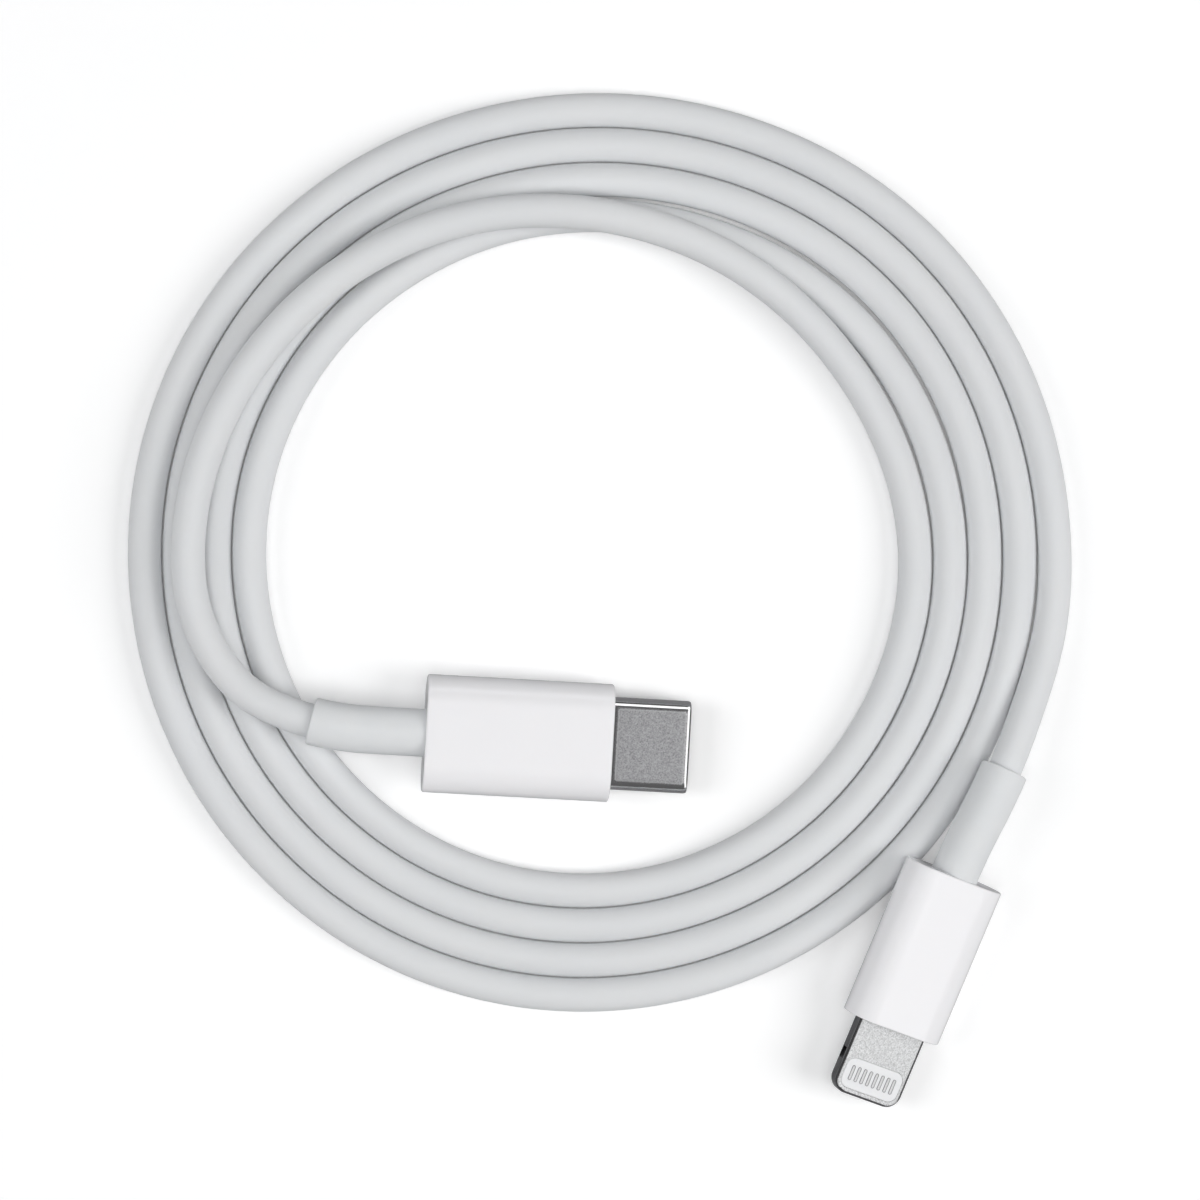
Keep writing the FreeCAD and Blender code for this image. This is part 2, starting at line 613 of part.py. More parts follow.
def pad_plate(y, margin, thick, radius):
    """A pad's outline widened by margin, as a plate centred on z = 0."""
    half = PAD_HALF_L + margin
    shape = plate(WINDOW_MID - half, WINDOW_MID + half, PAD_W + 2 * margin, thick, radius, radius)
    shape.translate(Vector(0, y, 0))
    return shape


PAD_YS = [(i - (PAD_COUNT - 1) / 2) * PAD_PITCH for i in range(PAD_COUNT)]


def device_contact_insert():
    """The block filling the tongue's window, with a pocket for each pad."""
    shape = plate(WINDOW_REAR + INSERT_GAP, WINDOW_FRONT - INSERT_GAP,
                  WINDOW_W - 2 * INSERT_GAP, 1.46, WINDOW_R - INSERT_GAP, WINDOW_R - INSERT_GAP)
    # slot for the circuit board
    shape = shape.cut(box(WINDOW_REAR - 0.1, WINDOW_REAR + 2.0, -2.45, 2.45, -0.42, 0.42))
    for y in PAD_YS:
        for side in (1, -1):
            pocket = pad_plate(y, PAD_GAP, 4.0, 0.165)
            outer = box(0, 30, -5, 5, PAD_POCKET_FLOOR * side, 2 * side)
            shape = shape.cut(pocket.common(outer))
    return shape


def device_contacts():
    pads = [pad_plate(y, 0.0, PAD_T, 0.145) for y in PAD_YS]
    for pad in pads:
        pad.translate(Vector(0, 0, PAD_Z))
    return Part.Compound(pads)


def device_circuit_board():
    """A board with a narrower front part reaching into the insert."""
    rear = box(BOARD_REAR, BOARD_FRONT, -3.1, 3.1, -0.35, 0.35)
    front = box(12.0, WINDOW_REAR + 1.9, -2.4, 2.4, -0.35, 0.35)
    return rear.fuse(front).removeSplitter()


def make_device_plug():
    place = plug_frame(DEVICE_ORIGIN, DEVICE_DIR, DEVICE_ROLL)
    save("device_housing", device_housing(), place)
    save("device_tongue_frame", device_tongue_frame(), place)
    save("device_contact_insert", device_contact_insert(), place)
    save_upper_lower("device_%s_contacts", device_contacts(), place)
    save("device_circuit_board", device_circuit_board(), place)
    save("device_board_components", components(DEVICE_COMPONENTS), place)
    save_upper_lower("device_shield_can_%s", shield_can(7.4, 3.2, 0.45), place)
    make_cable_entry("device", place, crimp_radius=1.64, wire_z=0.66)


# ------------------------------------------------------------------- output
os.makedirs("parts", exist_ok=True)
make_coil()
# Every joint has its cup on the coil's side and its ball on the plug's side,
# so each length has a ball toward the coil and a cup toward the plug.
make_tail("device_tail", DEVICE_JOINTS + [DEVICE_YAW], CUP, BALL)
make_tail("host_tail", HOST_JOINTS + [HOST_YAW], BALL, CUP)
make_reliefs()
make_host_plug()
make_device_plug()
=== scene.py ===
# A coiled cable with a plug at each end, lying on the floor plane z = 0.
# The coil winds round the z axis. The device plug, near (32, -25), ends in a bare tongue
# and points to -Y and slightly -X. The host plug, near (-16, -12), ends in a metal
# sleeve and points to +X. Dimensions are in mm and are scaled by MM when handed to
# Blender. Positions along the cable are arc lengths "s": 0 at the device plug's
# housing, LENGTH at the host plug's.
import math

import bmesh
import bpy
import numpy as np
from mathutils import Matrix, Vector


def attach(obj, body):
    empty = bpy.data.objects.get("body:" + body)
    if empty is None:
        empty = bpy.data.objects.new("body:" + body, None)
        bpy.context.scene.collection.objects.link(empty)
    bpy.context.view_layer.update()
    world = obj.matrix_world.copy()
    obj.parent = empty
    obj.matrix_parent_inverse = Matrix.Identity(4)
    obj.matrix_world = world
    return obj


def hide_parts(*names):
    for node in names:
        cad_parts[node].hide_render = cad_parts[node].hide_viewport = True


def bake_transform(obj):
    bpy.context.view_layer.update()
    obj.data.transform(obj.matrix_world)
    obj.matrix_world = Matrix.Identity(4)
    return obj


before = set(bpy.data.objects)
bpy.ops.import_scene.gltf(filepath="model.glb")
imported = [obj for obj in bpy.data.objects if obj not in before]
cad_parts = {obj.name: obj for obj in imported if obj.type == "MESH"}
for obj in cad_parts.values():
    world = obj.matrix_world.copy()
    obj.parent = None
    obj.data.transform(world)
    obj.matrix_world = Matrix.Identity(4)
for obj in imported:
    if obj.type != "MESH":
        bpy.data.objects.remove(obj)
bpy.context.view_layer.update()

MM = 0.001
UP = Vector((0, 0, 1))

# ---------------------------------------------------------------- dimensions
# Centreline of the cable from the device plug's housing to the host plug's: x, y, z.
CENTRELINE = [
    (31.780, -24.669, 3.984), (36.273, -15.280, 3.904), (37.196, -13.078, 3.604),
    (38.442, -9.778, 2.954), (39.724, -5.955, 2.254), (40.608, -2.063, 1.784),
    (40.976, 4.151, 1.624), (37.145, 20.993, 1.529), (26.693, 34.554, 1.529),
    (11.741, 42.382, 1.529), (-4.845, 43.771, 1.529), (-20.618, 38.683, 1.529),
    (-33.107, 27.711, 1.529), (-40.063, 12.522, 1.529), (-40.071, -4.221, 1.529),
    (-33.231, -19.497, 1.529), (-20.744, -30.599, 1.529), (-4.849, -35.504, 1.529),
    (11.524, -33.411, 1.529), (25.469, -24.891, 1.529), (34.692, -11.598, 1.529),
    (37.814, 4.152, 1.529), (34.281, 19.718, 1.529), (24.595, 32.224, 1.529),
    (10.772, 39.401, 1.529), (-4.518, 40.653, 1.529), (-19.050, 35.968, 1.529),
    (-30.571, 25.868, 1.529), (-36.996, 11.871, 1.529), (-37.005, -3.569, 1.529),
    (-30.695, -17.655, 1.529), (-19.177, -27.884, 1.529), (-4.521, -32.386, 1.529),
    (10.555, -30.429, 1.529), (23.371, -22.561, 1.529), (31.828, -10.322, 1.529),
    (34.679, 4.152, 1.529), (31.416, 18.442, 1.529), (22.497, 29.894, 1.529),
    (9.803, 36.419, 1.529), (-4.190, 37.535, 1.529), (-17.483, 33.253, 1.529),
    (-28.035, 24.025, 1.529), (-33.929, 11.219, 1.529), (-33.938, -2.917, 1.529),
    (-28.159, -15.812, 1.529), (-17.609, -25.168, 1.529), (-4.194, -29.268, 1.529),
    (9.586, -27.447, 1.529), (21.274, -20.232, 1.529), (28.964, -9.047, 1.529),
    (31.544, 4.152, 1.529), (28.378, 17.089, 1.529), (20.239, 27.385, 1.529),
    (8.757, 33.199, 1.529), (-3.862, 34.415, 1.529), (-15.915, 30.538, 1.529),
    (-25.498, 22.182, 1.529), (-30.863, 10.567, 1.529), (-30.872, -2.266, 1.529),
    (-25.622, -13.969, 1.529), (-16.041, -22.453, 1.529), (-3.866, -26.150, 1.529),
    (8.617, -24.466, 1.529), (19.176, -17.902, 1.529), (26.100, -7.772, 1.529),
    (28.409, 4.152, 1.529), (26.576, 13.007, 1.624), (22.293, 20.833, 2.424),
    (16.162, 27.304, 3.784), (8.382, 31.998, 4.484), (-0.675, 34.444, 4.684),
    (-10.475, 34.277, 4.684), (-20.124, 30.886, 4.684), (-28.463, 24.307, 4.684),
    (-34.404, 15.077, 4.684), (-36.784, 4.118, 4.684), (-36.471, 0.230, 4.684),
    (-35.754, -2.290, 4.704), (-34.714, -4.506, 4.744), (-33.377, -6.435, 4.804),
    (-31.823, -8.060, 4.904), (-30.098, -9.182, 5.034), (-28.313, -10.009, 5.154),
    (-25.735, -10.855, 5.264), (-15.692, -11.975, 4.204),
]
# The way each plug points, and the device plug's roll about it in degrees.
DEVICE_DIRECTION = Vector((-0.3821, -0.9228, -0.0486)).normalized()
HOST_DIRECTION = Vector((0.9942, -0.0576, -0.0908)).normalized()
DEVICE_ROLL = 19.0

# Arc lengths: flex joints from the coil outwards, the relief's yaw joint and rear lip.
DEVICE_JOINTS = [175.44, 154.36, 133.3, 112.38, 91.52, 70.41, 48.89, 28.59]
DEVICE_YAW, DEVICE_LIP = 11.67, 10.42
HOST_JOINTS = [997.41, 1008.5, 1019.81, 1026.47]
HOST_YAW, HOST_LIP = 1036.42, 1037.67
COIL_START = DEVICE_JOINTS[0] + 10.5
COIL_END = HOST_JOINTS[0] - 5.5

JACKET_RADIUS = 1.525
RELIEF_RADIUS = 2.15


# ---------------------------------------------------------------- centreline
def spline_tangents(points, first_tangent, last_tangent):
    """Unit tangents of the cubic spline through the points, with its end tangents given."""
    count = len(points)
    gaps = [(points[i + 1] - points[i]).length for i in range(count - 1)]
    columns = []
    for axis in range(3):
        y = [point[axis] for point in points]
        # A tridiagonal system, solved by forward elimination and back substitution.
        lower, diagonal = [0.0] * count, [1.0] * count
        upper, right = [0.0] * count, [0.0] * count
        right[0], right[-1] = first_tangent[axis], last_tangent[axis]
        for i in range(1, count - 1):
            before, after = gaps[i - 1], gaps[i]
            lower[i], diagonal[i], upper[i] = after, 2 * (before + after), before
            right[i] = 3 * (after * (y[i] - y[i - 1]) / before
                            + before * (y[i + 1] - y[i]) / after)
        for i in range(1, count):
            weight = lower[i] / diagonal[i - 1]
            diagonal[i] -= weight * upper[i - 1]
            right[i] -= weight * right[i - 1]
        slopes = [0.0] * count
        slopes[-1] = right[-1] / diagonal[-1]
        for i in range(count - 2, -1, -1):
            slopes[i] = (right[i] - upper[i] * slopes[i + 1]) / diagonal[i]
        columns.append(slopes)
    return [Vector(slopes).normalized() for slopes in zip(*columns)]


def turned(vector, axis, angle):
    """The vector turned about a unit axis."""
    c, s = math.cos(angle), math.sin(angle)
    return vector * c + axis.cross(vector) * s + axis * (axis.dot(vector) * (1 - c))


class Arc:
    """A circular arc from start, along tangent, to end; without a centre it is straight."""
    def __init__(self, start, tangent, end):
        chord = end - start
        inward = chord - tangent * chord.dot(tangent)
        self.start, self.tangent = start, tangent
        if inward.length < 1e-6:
            self.centre, self.axis, self.angle, self.length = None, None, 0.0, chord.length
            return
        inward.normalize()
        radius = chord.dot(chord) / (2 * chord.dot(inward))
        self.angle = 2 * math.atan2(chord.dot(inward), chord.dot(tangent))
        self.length = radius * self.angle
        self.centre = start + inward * radius
        self.axis = tangent.cross(inward).normalized()

    def carried(self, vector):
        """A vector carried from the arc's start to its end."""
        return vector if self.centre is None else turned(vector, self.axis, self.angle)


def two_arcs(start, start_tangent, end, end_tangent):
    """Two arcs that meet smoothly and keep the tangents at both ends."""
    chord = end - start
    a = 2 * (1 - start_tangent.dot(end_tangent))
    b = 2 * chord.dot(start_tangent + end_tangent)
    c = -chord.dot(chord)
    if abs(a) < 1e-9:
        reach = -c / b
    else:
        reach = (-b + math.sqrt(b * b - 4 * a * c)) / (2 * a)
    middle = ((start + start_tangent * reach) + (end - end_tangent * reach)) * 0.5
    first = Arc(start, start_tangent, middle)
    return [first, Arc(middle, first.carried(start_tangent), end)]


def make_path():
    """The centreline's arcs, each with its own arc length and normal, and the total length."""
    points = [Vector(point) for point in CENTRELINE]
    tangents = spline_tangents(points, -DEVICE_DIRECTION, HOST_DIRECTION)
    arcs, s = [], 0.0
    normal = (UP - tangents[0] * tangents[0].z).normalized()
    for i in range(len(points) - 1):
        for arc in two_arcs(points[i], tangents[i], points[i + 1], tangents[i + 1]):
            arc.s, arc.normal = s, normal
            s += arc.length
            normal = arc.carried(normal)
            arcs.append(arc)
    return arcs, s


PATH, LENGTH = make_path()
ARC_STARTS = np.array([arc.s for arc in PATH])


def at(s):
    """Point, tangent and transported normal at arc length s; straight beyond the ends."""
    index = int(np.searchsorted(ARC_STARTS, s, side="right")) - 1
    arc = PATH[max(0, min(index, len(PATH) - 1))]
    if s < 0:
        return arc.start + arc.tangent * s, arc.tangent, arc.normal
    along, extra = s - arc.s, 0.0
    if along > arc.length:
        extra, along = along - arc.length, arc.length
    if arc.centre is None:
        point, tangent, normal = arc.start + arc.tangent * along, arc.tangent, arc.normal
    else:
        angle = arc.angle / arc.length * along
        point = arc.centre + turned(arc.start - arc.centre, arc.axis, angle)
        tangent = turned(arc.tangent, arc.axis, angle)
        normal = turned(arc.normal, arc.axis, angle)
    return point + tangent * extra, tangent, normal


class Plug:
    """A plug's own frame: x the way it points, y to its left, z up, all turned by the
    roll; origin at the centre of the housing's rear face."""
    def __init__(self, origin, direction, roll=0.0):
        self.origin, self.x = origin, direction
        level = UP.cross(direction).normalized()
        self.y = turned(level, direction, -math.radians(roll))
        self.z = direction.cross(self.y)

    def place(self, x, y, z):
        return self.origin + self.x * x + self.y * y + self.z * z

    def mapping(self):
        """Rotation and location that take product coordinates in mm to this frame."""
        rotation = Matrix((self.x, self.y, self.z))
        return rotation.to_euler("XYZ"), -(rotation @ self.origin)


HOST = Plug(Vector(CENTRELINE[-1]), HOST_DIRECTION)
DEVICE = Plug(Vector(CENTRELINE[0]), DEVICE_DIRECTION, DEVICE_ROLL)


# ---------------------------------------------------------------- mesh helpers
def mesh_object(name, points, faces, local, sharp=()):
    """A smooth object from points in mm. co_local keeps each point's coordinates in the
    piece's own frame, for the materials to read."""
    mesh = bpy.data.meshes.new(name)
    mesh.from_pydata([tuple(x * MM for x in point) for point in points], [], faces)
    mesh.validate()
    mesh.shade_smooth()
    attribute = mesh.attributes.new("co_local", "FLOAT_VECTOR", "POINT")
    attribute.data.foreach_set("vector", np.array(local, np.float32).ravel())
    if sharp:
        marked = {tuple(sorted(edge)) for edge in sharp}
        attribute = mesh.attributes.new("sharp_edge", "BOOLEAN", "EDGE")
        attribute.data.foreach_set(
            "value", [tuple(sorted(edge.vertices)) in marked for edge in mesh.edges])
    made = bpy.data.objects.new(name, mesh)
    bpy.context.scene.collection.objects.link(made)
    # Faces all turned outwards.
    work = bmesh.new()
    work.from_mesh(mesh)
    bmesh.ops.recalc_face_normals(work, faces=work.faces)
    work.to_mesh(mesh)
    work.free()
    return made


def ring_faces(rings, sides, closed):
    """Quads between successive rings; closed also joins the last ring to the first."""
    faces = []
    for i in range(rings if closed else rings - 1):
        j = (i + 1) % rings
        for k in range(sides):
            k2 = (k + 1) % sides
            faces.append((i * sides + k, i * sides + k2, j * sides + k2, j * sides + k))
    return faces


def tube(name, profile, sides=44, closed=False):
    """Rings round the centreline; profile lists (s, radius). co_local holds
    (s, radius * cos, radius * sin). An open tube gets flat, sharp-edged ends."""
    points, local, sharp = [], [], []
    for s, radius in profile:
        point, tangent, normal = at(s)
        side = tangent.cross(normal)
        for k in range(sides):
            u = radius * math.cos(2 * math.pi * k / sides)
            v = radius * math.sin(2 * math.pi * k / sides)
            points.append(point + normal * u + side * v)
            local.append((s, u, v))
    rings = len(profile)
    faces = ring_faces(rings, sides, closed)
    if not closed:
        last = (rings - 1) * sides
        faces.append(tuple(range(sides - 1, -1, -1)))
        faces.append(tuple(last + k for k in range(sides)))
        for start in (0, last):
            sharp += [(start + k, start + (k + 1) % sides) for k in range(sides)]
    return mesh_object(name, points, faces, local, sharp)


def jacket_span(start, end, step):
    """Evenly spaced stations of jacket radius."""
    count = max(2, int(round((end - start) / step)))
    return [(start + (end - start) * i / count, JACKET_RADIUS) for i in range(count + 1)]


def loft(name, plug, loops):
    """A closed skin through section loops (x, [(y, z), ...]), the last joined to the first."""
    local = [(x, y, z) for x, section in loops for y, z in section]
    points = [plug.place(*coordinates) for coordinates in local]
    faces = ring_faces(len(loops), len(loops[0][1]), closed=True)
    return mesh_object(name, points, faces, local)


FLAT_POINTS, ROUND_POINTS = 20, 28      # section points on a flat, on a half round


def stadium(width, thickness):
    """Section points (y, z), the sides full half rounds."""
    radius, flat = thickness / 2, width / 2 - thickness / 2
    points = []
    for side, middle in ((1, 0.0), (-1, math.pi)):
        for i in range(ROUND_POINTS):
            a = middle - math.pi / 2 + math.pi * i / ROUND_POINTS
            points.append((side * flat + radius * math.cos(a), radius * math.sin(a)))
        for i in range(FLAT_POINTS):
            points.append((side * (flat - 2 * flat * i / FLAT_POINTS), side * radius))
    return points


def rounded_rect(width, thickness, radius):
    """A rounded rectangle with as many points as stadium()."""
    y, z = width / 2 - radius, thickness / 2 - radius
    points = []
    steps = ROUND_POINTS // 2
    for side, middle in ((1, 0.0), (-1, math.pi)):
        for corner_z, start in ((-side * z, middle - math.pi / 2), (side * z, middle)):
            for i in range(steps):
                a = start + math.pi / 2 * i / (steps - 1)
                points.append((side * y + radius * math.cos(a), corner_z + radius * math.sin(a)))
        for i in range(FLAT_POINTS):
            points.append((side * y * (1 - 2 * (i + 1) / (FLAT_POINTS + 1)),
                           side * thickness / 2))
    return points


def disc(radius, like):
    """A circle with its points at the same angles as another section's."""
    angles = [math.atan2(z, y) for y, z in like]
    return [(radius * math.cos(a), radius * math.sin(a)) for a in angles]


def quarter_turn(steps, first=1):
    """(sin, cos) at even steps through a right angle."""
    angles = [math.pi / 2 * i / steps for i in range(first, steps + 1)]
    return [(math.sin(a), math.cos(a)) for a in angles]


def rounded_edge(x_face, inward, width, thickness, radius):
    """Loops that round an outer edge from the end face to the side."""
    loops = []
    for sin, cos in quarter_turn(steps=7, first=0):
        inset = 2 * radius * (1 - sin)
        loops.append((x_face + inward * radius * (1 - cos),
                      stadium(width - inset, thickness - inset)))
    return loops


# ---------------------------------------------------------------- shader helpers
OWN, PRODUCT = "own", "product"     # coordinate frames; a Plug is the third kind


class Graph:
    """A node tree, emptied, with short ways to add nodes to it."""
    def __init__(self, tree):
        self.tree = tree
        tree.nodes.clear()

    def feed(self, socket, value):
        if isinstance(value, bpy.types.NodeSocket):
            self.tree.links.new(value, socket)
        elif socket.type == "RGBA":
            socket.default_value = (*value, 1)
        else:
            socket.default_value = value

    def node(self, kind, inputs=None, **settings):
        made = self.tree.nodes.new(kind)
        for key, value in settings.items():
            setattr(made, key, value)
        for key, value in (inputs or {}).items():
            self.feed(made.inputs[key], value)
        return made

    def coords(self, source):
        """Coordinates in mm: the piece's own (co_local), the product's, or a plug's."""
        if source == OWN:
            return self.node("ShaderNodeAttribute", attribute_name="co_local").outputs["Vector"]
        metres = self.node("ShaderNodeTexCoord").outputs["Object"]
        scaled_up = self.node("ShaderNodeVectorMath", {0: metres, "Scale": 1000.0},
                              operation="SCALE").outputs[0]
        if source == PRODUCT:
            return scaled_up
        rotation, location = source.mapping()
        return self.node("ShaderNodeMapping", {"Vector": scaled_up, "Rotation": rotation,
                                               "Location": location}).outputs[0]

    def split(self, vector):
        return self.node("ShaderNodeSeparateXYZ", {0: vector}).outputs

    def noise(self, vector, scale, detail=3.0, roughness=0.55, stretch=None):
        if stretch:
            vector = self.node("ShaderNodeVectorMath", {0: vector, 1: stretch},
                               operation="MULTIPLY").outputs[0]
        return self.node("ShaderNodeTexNoise", {
            "Scale": scale, "Detail": detail, "Roughness": roughness,
            "Vector": vector}).outputs["Fac"]

    def ramp(self, value, levels=(0.0, 1.0), between=(0.3, 0.7)):
        """Grey levels below and above the two positions, blended between them."""
        made = self.node("ShaderNodeValToRGB", {0: value})
        for element, position, level in zip(made.color_ramp.elements, between, levels):
            element.position = position
            element.color = (level, level, level, 1)
        return made.outputs[0]

    def mix(self, factor, first, second):
        # The colour sockets of a Mix node are inputs 6 and 7 and output 2.
        return self.node("ShaderNodeMix", {0: factor, 6: first, 7: second},
                         data_type="RGBA").outputs[2]

    def calc(self, operation, first, second=0.0):
        return self.node("ShaderNodeMath", {0: first, 1: second},
                         operation=operation).outputs[0]

    def step(self, value, zero_at, one_at):
        return self.node("ShaderNodeMapRange", {
            "Value": value, "From Min": zero_at, "From Max": one_at}).outputs[0]

    def within(self, *edges):
        """The product of steps, each given as (value, zero_at, one_at)."""
        product = self.step(*edges[0])
        for edge in edges[1:]:
            product = self.calc("MULTIPLY", product, self.step(*edge))
        return product

    def bump(self, height, depth, strength, under=None):
        """A bump normal, depth in mm, laid over another one if given."""
        inputs = {"Height": height, "Distance": depth * MM, "Strength": strength}
        if under is not None:
            inputs["Normal"] = under
        return self.node("ShaderNodeBump", inputs).outputs[0]


class Surface(Graph):
    """A material with one Principled shader."""
    def __init__(self, name):
        self.material = bpy.data.materials.new(name)
        self.material.use_nodes = True
        super().__init__(self.material.node_tree)
        self.principled = self.node("ShaderNodeBsdfPrincipled")
        self.node("ShaderNodeOutputMaterial", {0: self.principled.outputs[0]})

    def finish(self, inputs):
        for key, value in inputs.items():
            self.feed(self.principled.inputs[key], value)
        return self.material


def band(value, low, high, soft):
    """The two edges, for within(), of a band that is 1 between low and high."""
    return (value, low - soft, low + soft), (value, high + soft, high - soft)


def scaled(colour, factor):
    return tuple(c * factor for c in colour)


# ---------------------------------------------------------------- materials
def plastic(name, colour, rough, source=OWN, grain=12.0, grain_depth=0.004, cloud=0.35,
            coat=0.0, subsurface=0.0, tint=(0.97, 0.985, 1.0), lines=None, spread=0.02,
            gloss_change=1.0):
    """Polymer with fine grain, a faint cloud in the colour and small changes in gloss.
    grain and cloud are noise scales, spread is how far the colour varies, and lines adds
    drawn-out noise as (scale, depth, stretch)."""
    g = Surface(name)
    vector = g.coords(source)
    fine = g.noise(vector, grain, detail=4.0, roughness=0.6)
    broad = g.noise(vector, cloud, detail=2.0)
    dark = tuple(c * (1 - spread * 1.6) * t for c, t in zip(colour, tint))
    clouded = g.mix(broad, dark, colour)
    grained = g.mix(g.calc("MULTIPLY", fine, spread * 2), clouded, scaled(colour, 0.86))
    normal = g.bump(fine, depth=grain_depth, strength=0.9)
    if lines:
        scale, depth, stretch = lines
        drawn = g.noise(vector, scale, detail=2.0, roughness=0.5, stretch=stretch)
        normal = g.bump(drawn, depth=depth, strength=0.8, under=normal)
    if subsurface:
        g.finish({"Subsurface Weight": subsurface,
                  "Subsurface Radius": (0.0012, 0.0011, 0.001),
                  "Subsurface Scale": 0.6})
    return g.finish({
        "Base Color": grained,
        "Roughness": g.ramp(g.mix(0.5, fine, broad),
                            levels=(rough - 0.05 * gloss_change, rough + 0.06 * gloss_change)),
        "Normal": normal,
        "Coat Weight": coat,
        "Coat Roughness": 0.16,
        "IOR": 1.47,
    })


def metal(name, colour, rough, source, grain, contrast, grain_depth, stretch=None):
    """Metal with a speckled grain, brushed where it is stretched, and fine scratches."""
    g = Surface(name)
    vector = g.coords(source)
    fine = g.noise(vector, grain, detail=3.0, roughness=0.65, stretch=stretch)
    broad = g.noise(vector, scale=0.8, detail=3.0)
    dark = scaled(colour, 1 - contrast * 1.8)
    light = tuple(min(1.0, c * (1 + contrast)) for c in colour)
    speckled = g.mix(g.ramp(fine, between=(0.32, 0.68)), dark, light)
    clouded = g.mix(g.calc("MULTIPLY", broad, 0.25), speckled, scaled(colour, 0.82))
    scratches = g.noise(vector, scale=5.0, detail=2.0, roughness=0.4, stretch=(0.6, 14.0, 14.0))
    return g.finish({
        "Metallic": 1.0,
        "Base Color": clouded,
        "Roughness": g.ramp(g.mix(0.4, fine, broad), levels=(rough - 0.08, rough + 0.10)),
        "Normal": g.bump(scratches, depth=0.0012, strength=0.5,
                         under=g.bump(fine, depth=grain_depth, strength=1.0)),
    })


def blasted(name, source, window, flat, polish_and_painted_reflection, grain, contrast, soft=0.05,
            beyond_z=0.9, rim_dark=0.9):
    """A metal skin, blasted and speckled inside window (x0, x1, y0, y1) where |z| passes
    beyond_z, and smooth and glossy round it. The rim colour is the bare metal's where it is
    light; where it is dark, as on the tongue's walls, it is a painted dark reflection,
    mottled by rim_dark."""
    g = Surface(name)
    vector = g.coords(source)
    x, y, z = g.split(vector)
    x0, x1, y0, y1 = window
    inside = g.within(*band(x, x0, x1, soft), *band(y, y0, y1, soft),
                      (g.calc("ABSOLUTE", z), beyond_z - 0.02, beyond_z + 0.02))
    speckle = g.mix(0.15, g.noise(vector, grain, detail=4.0, roughness=0.7),
                    g.noise(vector, grain * 0.35, detail=3.0, roughness=0.6))
    field = g.mix(g.ramp(speckle, between=(0.36, 0.64)),
                  scaled(flat, 1 - contrast), scaled(flat, 1 + contrast))
    fine = g.noise(vector, scale=3.0, detail=2.0, roughness=0.5, stretch=(0.25, 6.0, 6.0))
    # Rim colour, mottled darker by rim_dark; on the tongue it is a painted dark reflection on
    # the smooth walls.
    rim = g.mix(g.ramp(fine, between=(0.35, 0.65)), scaled(polish_and_painted_reflection, rim_dark), polish_and_painted_reflection)
    pits = g.bump(g.calc("MULTIPLY", inside, speckle), depth=0.010, strength=1.0)
    return g.finish({
        "Base Color": g.mix(inside, rim, field),
        "Metallic": g.calc("SUBTRACT", 1.0, g.calc("MULTIPLY", inside, 0.55)),
        "Roughness": g.mix(inside, g.ramp(fine, levels=(0.07, 0.13)),
                           g.ramp(speckle, levels=(0.42, 0.56))),
        "Normal": g.bump(fine, depth=0.0012, strength=0.5, under=pits),
    })


def pad_metal():
    """Brushed pads, bright in the middle and dark round the edge; the dark ring is painted shade
    for the gap round each pad.
    """
    centre_x, half_straight, pitch = 19.825, 0.555, 0.60
    g = Surface("pad_plate")
    vector = g.coords(DEVICE)
    x, y, _ = g.split(vector)
    # Distance from the pad's middle line, with rounded ends.
    from_centre = g.calc("ABSOLUTE", g.calc("SUBTRACT", x, centre_x))
    u = g.calc("MAXIMUM", g.calc("SUBTRACT", from_centre, half_straight), 0.0)
    v = g.calc("SUBTRACT", g.calc("FLOORED_MODULO", y, pitch), pitch / 2)
    distance = g.calc("SQRT", g.calc("ADD", g.calc("MULTIPLY", u, u), g.calc("MULTIPLY", v, v)))
    # Painted shade: a dark ring round each pad, standing for the shadow in the gap between pad
    # and insert.
    edge = g.step(distance, zero_at=0.085, one_at=0.125)
    fine = g.noise(vector, scale=9.0, detail=3.0, roughness=0.6, stretch=(2.5, 0.9, 1.0))
    bright = g.mix(fine, (0.46, 0.46, 0.465), (0.66, 0.66, 0.665))
    return g.finish({
        "Base Color": g.mix(edge, bright, (0.14, 0.14, 0.145)),
        "Metallic": 0.55,
        "Roughness": g.ramp(fine, levels=(0.26, 0.40)),
        "Normal": g.bump(fine, depth=0.003, strength=0.8),
    })


def board(name, plug):
    """Green solder mask, lighter over the tracks, with gold pads towards the rear."""
    g = Surface(name)
    vector = g.coords(plug)
    x = g.split(vector)["X"]
    wave = g.node("ShaderNodeTexWave", {
        "Scale": 0.42, "Distortion": 0.6, "Detail Scale": 0.6, "Vector": vector},
        wave_type="BANDS", bands_direction="Y").outputs["Fac"]
    tracks = g.ramp(wave, between=(0.70, 0.74))
    fine = g.noise(vector, scale=10.0, detail=3.0)
    mask = g.mix(fine, (0.010, 0.085, 0.038), (0.016, 0.120, 0.055))
    tracked = g.mix(tracks, mask, (0.035, 0.21, 0.085))
    pads = g.calc("MULTIPLY", g.step(x, zero_at=4.9, one_at=4.8),
                  g.ramp(wave, between=(0.45, 0.5)))
    return g.finish({
        "Base Color": g.mix(pads, tracked, (0.80, 0.58, 0.22)),
        "Metallic": pads,
        "Roughness": g.ramp(fine, levels=(0.25, 0.36)),
        "Normal": g.bump(g.mix(0.75, fine, tracks), depth=0.02, strength=0.7),
    })


def component(name, plug):
    """Dark packages whose tone changes from cell to cell."""
    g = Surface(name)
    vector = g.coords(plug)
    fine = g.noise(vector, scale=16.0, detail=3.0)
    cells = g.node("ShaderNodeTexVoronoi", {"Scale": 0.9, "Vector": vector},
                   feature="F1").outputs["Color"]
    tone = g.ramp(cells, levels=(0.018, 0.05), between=(0.35, 0.65))
    return g.finish({
        "Base Color": g.mix(fine, tone, (0.09, 0.085, 0.08)),
        "Roughness": g.ramp(fine, levels=(0.38, 0.55)),
        "Normal": g.bump(fine, depth=0.008, strength=0.8),
    })


